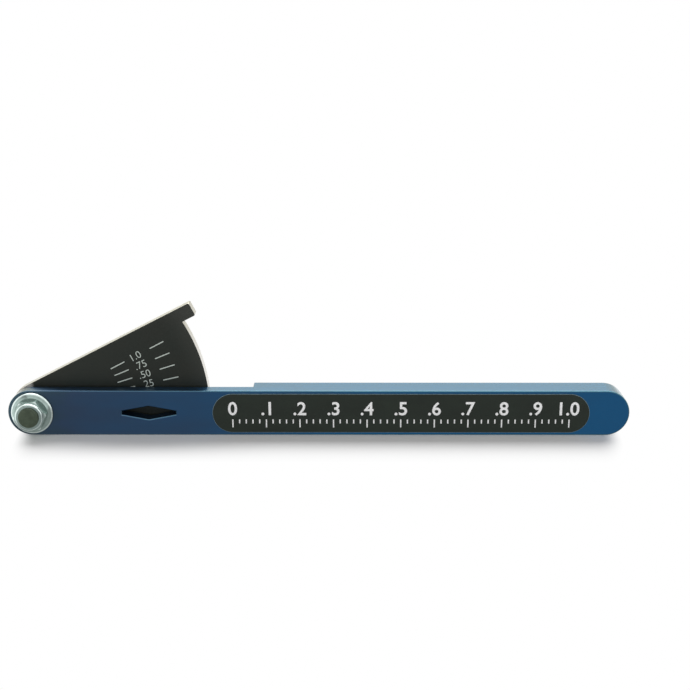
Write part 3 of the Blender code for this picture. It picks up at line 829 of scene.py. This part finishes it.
class GAUGE_OT_build_indicator(bpy.types.Operator):
    """Build the black indicator plate with its bright edges"""

    bl_idname = "gauge.build_indicator"
    bl_label = "Indicator plate"
    bl_options = {'REGISTER', 'UNDO'}
    arc_start = 40 * MM   # past this distance beyond the pivot, an edge is part of the arc

    def execute(self, context):
        sizes = context.scene.gauge_indicator
        plate = self.outline(sizes)
        bevel_edges(plate, lambda edge: runs_along(edge, 1) and is_sharp(edge),
                    sizes.corner_radius, segments=5)
        bevel_edges(plate, lambda edge: is_sharp(edge) and self.on_hub(edge),
                    sizes.hub_chamfer, segments=2)
        apply_modifier(plate, 'BEVEL', width=sizes.edge_break, segments=2, limit_method='ANGLE',
                       angle_limit=2 * SHARP)
        plate.location = (PIVOT.x, 0, PIVOT.z)
        plate.rotation_euler = (0, -sizes.upper_angle, 0)
        apply_place(plate)
        self.cut_seats(plate, context.scene.gauge_pivot)
        shade(plate)
        coat(plate, blackened_steel(sizes), cut_steel_edge(sizes.bare), self.is_bare)
        wear(plate, "indicator", "plate_black", "indicator_plate")
        return {'FINISHED'}

    def outline(self, sizes):
        """Sector, hub and tab in the plate's own frame: X along the upper edge, pivot at zero."""
        tilt = sizes.lower_angle - sizes.upper_angle
        hub_z = sizes.upper_offset - sizes.hub_radius
        upper_tangent = Vector((0, 0, sizes.upper_offset))
        lower_normal = Vector((sin(tilt), 0, -cos(tilt)))
        lower_tangent = Vector((0, 0, hub_z)) + lower_normal * sizes.hub_radius
        chord = upper_tangent - lower_tangent
        sector = self.disc("indicator", sizes.sector_radius, z=0, vertices=288)
        tab_start = sizes.sector_radius - 4 * sizes.tab_depth   # well inside the arc
        tab = block("tab", (tab_start, PLATE_LOW.y, sizes.upper_offset - sizes.tab_depth),
                    (sizes.tab_reach, PLATE_HIGH.y, sizes.upper_offset + OVERRUN))
        combine(sector, tab, 'UNION')
        edit(sector)
        for point, outwards in ((upper_tangent, Vector((0, 0, 1))), (lower_tangent, lower_normal),
                                (lower_tangent, Vector((-chord.z, 0, chord.x)))):
            bpy.ops.mesh.select_all(action='SELECT')
            bpy.ops.mesh.bisect(plane_co=point, plane_no=outwards, use_fill=True, clear_outer=True)
        leave_edit()
        combine(sector, self.disc("hub", sizes.hub_radius, hub_z, vertices=192), 'UNION')
        tidy_mesh(sector)
        return sector

    def disc(self, name, radius, z, vertices):
        """A round blank of the plate's thickness, about a point above the pivot."""
        middle = (0, (PLATE_LOW.y + PLATE_HIGH.y) / 2, z)
        bpy.ops.mesh.primitive_cylinder_add(vertices=vertices, radius=radius, depth=PLATE_THICKNESS,
                                            location=middle, rotation=FACE_TO_FRONT)
        blank = named(name)
        apply_place(blank)
        return blank

    def on_hub(self, edge):
        return lies_at(edge, PLATE_LOW.y) and all(vert.co.x < 0 for vert in edge.verts)

    def is_bare(self, face):
        """The finish covers both faces, and laps over the front edge of the arc."""
        least = 0.2   # of the normal, for a face that looks outwards or to the front at all
        on_arc = face.normal.x > least and face.center.x > PIVOT.x + self.arc_start
        return not is_flat(face) and not (on_arc and face.normal.y < -least)

    def cut_seats(self, plate, pivot_sizes):
        """Seats for the stud, with its riveted head, and for the measuring pin."""
        shank = pivot_sizes.shoulder / 2 + SEAT_GAP
        head = shank + pivot_sizes.head_flare
        back = -PLATE_HIGH.y
        cut_round(plate, "stud_seat", PIVOT, [
            (head, back - OVERRUN), (head, back), (shank, back + pivot_sizes.head_depth),
            (shank, OVERRUN - PLATE_LOW.y)])
        centre, radius, front, _ = pin_place("measuring_pin")
        seat = radius + SEAT_GAP
        cut_round(plate, "pin_seat", centre, [(seat, back - OVERRUN), (seat, -front)])


class GAUGE_OT_build_scale(bpy.types.Operator):
    """Build the light marks and numbers of the scale"""

    bl_idname = "gauge.build_scale"
    bl_label = "Scale"
    bl_options = {'REGISTER', 'UNDO'}

    def execute(self, context):
        sizes = context.scene.gauge_indicator
        end_round = 0.45 * sizes.tick_width   # nearly half, so the ends are almost half circles
        tick = block("tick", (0, -sizes.tick_width / 2, 0),
                     (sizes.tick_length, sizes.tick_width / 2, PRINT))
        bevel_edges(tick, lambda edge: runs_along(edge, 2), end_round, segments=4)
        printed = []
        for number, text in enumerate(sizes.numerals.split()):
            turn = sizes.first_mark + number * sizes.mark_step
            for side, start in (("inner", sizes.tick_start), ("outer", sizes.outer_tick_start)):
                printed.append(self.stand(copy_of(tick, f"{side}_tick_{number}"), start, turn))
            figures = lettering(f"figure_{number}", text, sizes.numeral_height, FINE)
            printed.append(self.stand(figures, sizes.numeral_radius, turn))
        bpy.data.objects.remove(tick, do_unlink=True)
        scale = join(printed, "scale_marks")
        coat(scale, screen_ink("light_scale_marking", sizes.marking, 0.6))
        wear(scale, "indicator", "plate_black")
        return {'FINISHED'}

    def stand(self, mark, radius, turn):
        """Turns a flat mark by an angle and stands it on the plate, at that radius of the scale."""
        point = PIVOT + Vector((cos(turn), 0, sin(turn))) * radius
        mark.data.transform(Matrix.Rotation(turn, 4, 'Z'))
        face_front(mark, (point.x, PLATE_LOW.y, point.z))
        return mark


class GAUGE_OT_build_nut(bpy.types.Operator):
    """Build the flange nut with its hexagon and round collar"""

    bl_idname = "gauge.build_nut"
    bl_label = "Flange nut"
    bl_options = {'REGISTER', 'UNDO'}

    def execute(self, context):
        sizes = context.scene.gauge_pivot
        corner = sizes.across_flats / 2 / cos(pi / 6)
        nut = self.flange(sizes, corner)
        combine(nut, self.hexagon(sizes, corner), 'UNION')
        thread = sizes.thread / 2 + SEAT_GAP
        mouth = sizes.countersink / 2
        sink = mouth - thread
        bore = turned("bore", [(mouth, -OVERRUN), (mouth, 0), (thread, sink),
                               (thread, NUT_HEIGHT - sink), (mouth, NUT_HEIGHT),
                               (mouth, NUT_HEIGHT + OVERRUN)])
        combine(nut, bore, 'DIFFERENCE')
        face_front(nut, (PIVOT.x, NUT_HIGH.y, PIVOT.z))
        shade(nut)
        # The rims and corners take a lighter zinc: partly rubbed, partly a painted highlight.
        coat(nut, passivated_zinc("passivated_zinc", sizes.zinc),
             passivated_zinc("zinc_rubbed_and_painted_highlight", sizes.rubbed_and_painted_highlight),
             lambda face: self.is_rubbed_and_highlit(face, sizes, corner - CORNER_RUB_AND_HIGHLIGHT))
        wear(nut, "indicator", "nut_zinc", "flange_nut")
        return {'FINISHED'}

    def is_rubbed_and_highlit(self, face, sizes, corner_tip):
        """The flange's rim, the collar's edge and the hexagon's corners take a lighter zinc: partly
        rubbed bright, partly a painted highlight.
        """
        radius = (face.center - PIVOT).xz.length
        on_rim = radius > FLANGE_RADIUS - sizes.flange_round or radius < sizes.collar_diameter / 2
        above_flange = face.center.y < NUT_HIGH.y - sizes.flange_rim - sizes.flange_rise
        on_corner = radius > corner_tip and above_flange
        return (on_rim or on_corner) and is_slanted(face) and face.normal.y < 0

    def flange(self, sizes, corner):
        """Rim with a rounded edge, and the cone that rises from it to the hexagon."""
        edge = sizes.flange_round
        foot = sizes.flange_rim - edge
        rings = rounding(FLANGE_RADIUS - foot, foot, foot, -90, 0)
        rings += rounding(FLANGE_RADIUS - edge, foot, edge, 0, 80)
        rings += [(corner, sizes.flange_rim + sizes.flange_rise)]
        return turned("nut", rings, sides=128)

    def hexagon(self, sizes, corner):
        """A six-sided prism with its corners eased, chamfered down from a round collar."""
        start = sizes.flange_rim / 2
        depth = NUT_HEIGHT - start
        bpy.ops.mesh.primitive_cylinder_add(vertices=6, radius=corner, depth=depth,
                                            location=(0, 0, start + depth / 2),
                                            rotation=(0, 0, sizes.nut_turn - pi / 6))
        prism = named("hexagon")
        apply_place(prism)
        bevel_edges(prism, lambda edge: runs_along(edge, 2), CORNER_EASE, segments=3)
        collar = sizes.collar_diameter / 2
        foot = NUT_HEIGHT - sizes.collar_height
        ease = sizes.collar_round
        slope = tan(NUT_CHAMFER)
        wide = corner + OVERRUN
        tip = corner - CORNER_RUB_AND_HIGHLIGHT
        rings = [(wide, -OVERRUN), (wide, foot - (wide - collar) * slope),
                 (tip, foot - (tip - collar) * slope), (collar, foot)]
        rings += rounding(collar - ease, NUT_HEIGHT - ease, ease, 0, 90)
        combine(prism, turned("collar", rings, sides=128), 'INTERSECT')
        return prism


class GAUGE_OT_build_pivot(bpy.types.Operator):
    """Build the pivot stud and the two pins"""

    bl_idname = "gauge.build_pivot"
    bl_label = "Stud and pins"
    bl_options = {'REGISTER', 'UNDO'}

    def execute(self, context):
        sizes = context.scene.gauge_pivot
        self.build_stud(sizes)
        steel = centreless_ground_steel(sizes.ground)
        tip, chamfer = sizes.pin_round, sizes.pin_chamfer
        for name, body in (("measuring_pin", "indicator"), ("fixed_pin", "bar")):
            centre, radius, front, back = pin_place(name)
            rings = rounding(radius - tip, tip - back, tip, -90, 0)
            rings += [(radius, -front - chamfer), (radius - chamfer, -front)]
            pin = turned(name + "_dowel", rings, sides=64)
            on_axis(pin, centre)
            shade(pin)
            coat(pin, steel)
            wear(pin, body, "pin_ground", name)
        return {'FINISHED'}

    def build_stud(self, sizes):
        """Riveted head, shoulder, thread, and the end staked in the nut's mouth, slightly dished."""
        shoulder = sizes.shoulder / 2
        thread = sizes.thread / 2
        staked = sizes.countersink / 2 - STAKE_GAP
        dish = 0.6 * staked
        edge = sizes.end_round
        back, end = -STUD_HIGH.y, -STUD_LOW.y
        front, nut_top = -BAR_LOW.y, -NUT_LOW.y
        rings = [(shoulder + sizes.head_flare, back), (shoulder, back + sizes.head_depth),
                 (shoulder, front), (thread, front), (thread, nut_top + thread - staked)]
        rings += [(staked, nut_top)] + rounding(staked - edge, end - edge, edge, 0, 90)
        rings += [(dish, end - sizes.end_dish)]
        stud = turned("stud", rings)
        on_axis(stud, PIVOT)
        shade(stud)
        coat(stud, oxidised_steel(sizes.oxide))
        wear(stud, "indicator", "stud_oxide", "pivot_stud")


class GAUGE_OT_build_washer(bpy.types.Operator):
    """Finish the wave washer between the cheek and the plate"""

    bl_idname = "gauge.build_washer"
    bl_label = "Wave washer"
    bl_options = {'REGISTER', 'UNDO'}

    def execute(self, context):
        sizes = context.scene.gauge_pivot
        coat(frame["nodes"]["wave_washer"], rolled_spring_steel(sizes.spring))
        return {'FINISHED'}


def light_path(tree):
    """Two sockets: 1 for the camera's rays, and 1 for rays in gloss or through clear material."""
    path = add_node(tree, 'LightPath')
    gloss = add_node(tree, 'Math', {
        0: path.outputs["Is Glossy Ray"], 1: path.outputs["Is Transmission Ray"]},
        operation='MAXIMUM')
    return path.outputs["Is Camera Ray"], gloss.outputs[0]


class GAUGE_OT_build_stage(bpy.types.Operator):
    """Build the floor, the light and the camera of the studio"""

    bl_idname = "gauge.build_stage"
    bl_label = "Studio"
    bl_options = {'REGISTER', 'UNDO'}

    def execute(self, context):
        sizes = context.scene.gauge_stage
        context.scene.view_settings.view_transform = 'Standard'
        self.build_camera(context, sizes)
        self.build_world(context, sizes)
        self.build_floor(sizes)
        self.add_softbox("key_softbox", sizes.key_power, size=(sizes.key_size, 0.4 * sizes.key_size),
                         location=(0, 360 * MM, 500 * MM))
        self.add_softbox("fill_softbox", sizes.fill_power, size=(1200 * MM, 800 * MM),
                         location=(120 * MM, -700 * MM, 420 * MM))
        return {'FINISHED'}

    def build_camera(self, context, sizes):
        """The photograph's view: above the front, a little to the right."""
        turn = (Matrix.Rotation(sizes.yaw, 4, 'Z') @ Matrix.Rotation(pi / 2 - sizes.elevation, 4, 'X')
                @ Matrix.Rotation(sizes.roll, 4, 'Z'))
        target = Vector(sizes.target)
        back = turn @ Vector((0, 0, sizes.distance))
        bpy.ops.object.camera_add()
        camera = named("camera")
        camera.matrix_world = Matrix.Translation(target + back) @ turn
        camera.data.lens = sizes.lens
        camera.data.sensor_width = 36
        camera.data.clip_start = 0.01
        context.scene.camera = camera

    def build_world(self, context, sizes):
        """Soft light from all round, and a white backdrop for the camera and for gloss."""
        world = bpy.data.worlds.new("studio")
        world.use_nodes = True
        context.scene.world = world
        tree = world.node_tree
        tree.nodes.clear()
        camera_ray, gloss = light_path(tree)
        seen = add_node(tree, 'Math', {0: camera_ray, 1: gloss}, operation='MAXIMUM')
        light = add_node(tree, 'Background', {"Color": (1, 1, 1, 1), "Strength": sizes.ambient})
        strength, wall = self.room(tree, camera_ray, sizes)
        wall_in_gloss = add_node(tree, 'Math', {0: wall, 1: gloss}, operation='MULTIPLY')
        hue = add_node(tree, 'Mix', {
            0: wall_in_gloss, 6: (1, 1, 1, 1), 7: (*sizes.wall, 1)}, data_type='RGBA')
        backdrop = add_node(tree, 'Background', {"Color": hue.outputs[2], "Strength": strength})
        mixed = add_node(tree, 'MixShader', {0: seen, 1: light, 2: backdrop})
        add_node(tree, 'OutputWorld', {0: mixed})

    def room(self, tree, camera_ray, sizes):
        """How bright the room is in gloss, and where its wall is.

        It is a white tent, open in front, with a creamy wall behind and lamps above and beside.
        Each part fades in between two values of a direction, which runs from -1 to 1.
        """
        opening = (-0.9, -0.4)
        side_lamps = (0.55, 0.9)
        ceiling = (0.6, 0.9)
        ceiling_lean = 0.35   # how far the ceiling's lamps lean to the back
        back_wall = (0.3, 0.8)
        directions = add_node(tree, 'TexCoord')
        parts = add_node(tree, 'SeparateXYZ', {0: directions.outputs["Generated"]})
        depth = add_node(tree, 'MapRange', {
            "Value": parts.outputs["Y"], "From Min": opening[0], "From Max": opening[1],
            "To Min": sizes.room_front, "To Max": sizes.room_back}, interpolation_type='SMOOTHSTEP')
        sideways = add_node(tree, 'Math', {0: parts.outputs["X"]}, operation='ABSOLUTE')
        beside = add_node(tree, 'MapRange', {
            "Value": sideways, "From Min": side_lamps[0], "From Max": side_lamps[1],
            "To Min": 0, "To Max": sizes.room_side}, interpolation_type='SMOOTHSTEP')
        tipped = add_node(tree, 'Math', {
            0: parts.outputs["Y"], 1: ceiling_lean, 2: parts.outputs["Z"]}, operation='MULTIPLY_ADD')
        above = add_node(tree, 'MapRange', {
            "Value": tipped, "From Min": ceiling[0], "From Max": ceiling[1],
            "To Min": 0, "To Max": sizes.room_top}, interpolation_type='SMOOTHSTEP')
        lamps = add_node(tree, 'Math', {0: beside, 1: above})
        level = add_node(tree, 'Math', {0: depth, 1: lamps})
        strength = add_node(tree, 'Mix', {"Factor": camera_ray, "A": level, "B": 1.0},
                            data_type='FLOAT')
        wall = add_node(tree, 'MapRange', {
            "Value": parts.outputs["Y"], "From Min": back_wall[0], "From Max": back_wall[1]})
        return strength.outputs[0], wall.outputs[0]

    def build_floor(self, sizes):
        bpy.ops.mesh.primitive_plane_add(size=sizes.floor_size, location=(0, 0, -FLOOR_GAP))
        floor = named("floor")
        coat(floor, self.floor_paper(sizes))

    def floor_paper(self, sizes):
        """White background paper: it keeps the shadow near the gauge and fades to pure white.

        In gloss it is brighter behind the gauge and past its left end than in front.
        """
        squeeze = 3                             # the shadow is that much shorter off the bar's ends
        straight = BAR_LENGTH / 2 - 10.3 * MM   # half the length of its straight part
        shadow_end, white_start = 10 * MM, 26 * MM
        left_lead = 5                           # how fast the paper brightens past the left end
        bright = 50 * MM                        # behind the gauge, where it is as bright as it gets
        material, tree, shader = new_material("white_background_paper", 0.0, 1.0)
        shader.inputs["Base Color"].default_value = (0.93, 0.93, 0.93, 1)
        shader.inputs["Specular IOR Level"].default_value = 0
        coordinates = add_node(tree, 'TexCoord')
        folded = add_node(tree, 'VectorMath', {0: coordinates.outputs["Object"]},
                          operation='ABSOLUTE')
        past_end = add_node(tree, 'VectorMath', {
            0: folded, 1: (squeeze, 1, 1), 2: (-squeeze * straight, 0, 0)}, operation='MULTIPLY_ADD')
        outside = add_node(tree, 'VectorMath', {0: past_end, 1: (0, 0, 0)}, operation='MAXIMUM')
        distance = add_node(tree, 'VectorMath', {0: outside}, operation='LENGTH')
        away = add_node(tree, 'MapRange', {
            "Value": distance.outputs["Value"], "From Min": shadow_end, "From Max": white_start},
            interpolation_type='SMOOTHSTEP')
        camera_ray, gloss = light_path(tree)
        seen_away = add_node(tree, 'Math', {0: camera_ray, 1: away}, operation='MULTIPLY')
        white_share = add_node(tree, 'Math', {0: seen_away, 1: gloss}, operation='MAXIMUM')
        parts = add_node(tree, 'SeparateXYZ', {0: coordinates.outputs["Object"]})
        beside = add_node(tree, 'Math', {
            0: parts.outputs["X"], 1: -left_lead, 2: -left_lead * BAR_LENGTH / 2},
            operation='MULTIPLY_ADD')
        clear = add_node(tree, 'Math', {0: parts.outputs["Y"], 1: beside}, operation='MAXIMUM')
        paper = add_node(tree, 'MapRange', {
            "Value": clear, "From Min": 0, "From Max": bright,
            "To Min": sizes.floor_front, "To Max": sizes.floor_back})
        level = add_node(tree, 'Mix', {"Factor": gloss, "A": 1.0, "B": paper}, data_type='FLOAT')
        white = add_node(tree, 'Emission', {"Color": (1, 1, 1, 1), "Strength": level})
        painted_reflection_and_paper_fade = add_node(tree, 'MixShader', {0: white_share, 1: shader, 2: white})
        tree.links.new(painted_reflection_and_paper_fade.outputs[0], tree.nodes["Material Output"].inputs["Surface"])
        return material

    def add_softbox(self, name, power, size, location):
        """A rectangular softbox that looks at the gauge."""
        bpy.ops.object.light_add(type='AREA', location=location)
        lamp = named(name)
        lamp.rotation_euler = Vector(location).to_track_quat('Z', 'Y').to_euler()
        lamp.data.shape = 'RECTANGLE'
        lamp.data.size, lamp.data.size_y = size
        lamp.data.energy = power


STEPS = (GAUGE_OT_build_bar, GAUGE_OT_build_label, GAUGE_OT_build_indicator, GAUGE_OT_build_scale,
         GAUGE_OT_build_nut, GAUGE_OT_build_pivot, GAUGE_OT_build_washer, GAUGE_OT_build_stage)
SETTINGS = {"gauge_bar": GaugeBar, "gauge_indicator": GaugeIndicator, "gauge_pivot": GaugePivot,
            "gauge_stage": GaugeStage}


class GAUGE_PT_build(bpy.types.Panel):
    """Builds the gauge step by step"""

    bl_idname = "GAUGE_PT_build"
    bl_label = "Chain Wear Gauge"
    bl_space_type = 'VIEW_3D'
    bl_region_type = 'UI'
    bl_category = "Gauge"

    def draw(self, context):
        for step in STEPS:
            self.layout.operator(step.bl_idname)
        for name in SETTINGS:
            settings = getattr(context.scene, name)
            box = self.layout.box()
            for key in settings.bl_rna.properties.keys():
                if key not in ("rna_type", "name"):
                    box.prop(settings, key)


def register():
    for name, group in SETTINGS.items():
        bpy.utils.register_class(group)
        setattr(bpy.types.Scene, name, PointerProperty(type=group))
    for step in STEPS:
        bpy.utils.register_class(step)
    bpy.utils.register_class(GAUGE_PT_build)


def unregister():
    bpy.utils.unregister_class(GAUGE_PT_build)
    for step in reversed(STEPS):
        bpy.utils.unregister_class(step)
    for name, group in SETTINGS.items():
        delattr(bpy.types.Scene, name)
        bpy.utils.unregister_class(group)


def main():
    register()
    bpy.ops.gauge.build_bar()
    bpy.ops.gauge.build_label()
    bpy.ops.gauge.build_indicator()
    bpy.ops.gauge.build_scale()
    bpy.ops.gauge.build_nut()
    bpy.ops.gauge.build_pivot()
    bpy.ops.gauge.build_washer()
    bpy.ops.gauge.build_stage()


if __name__ == "__main__":
    main()
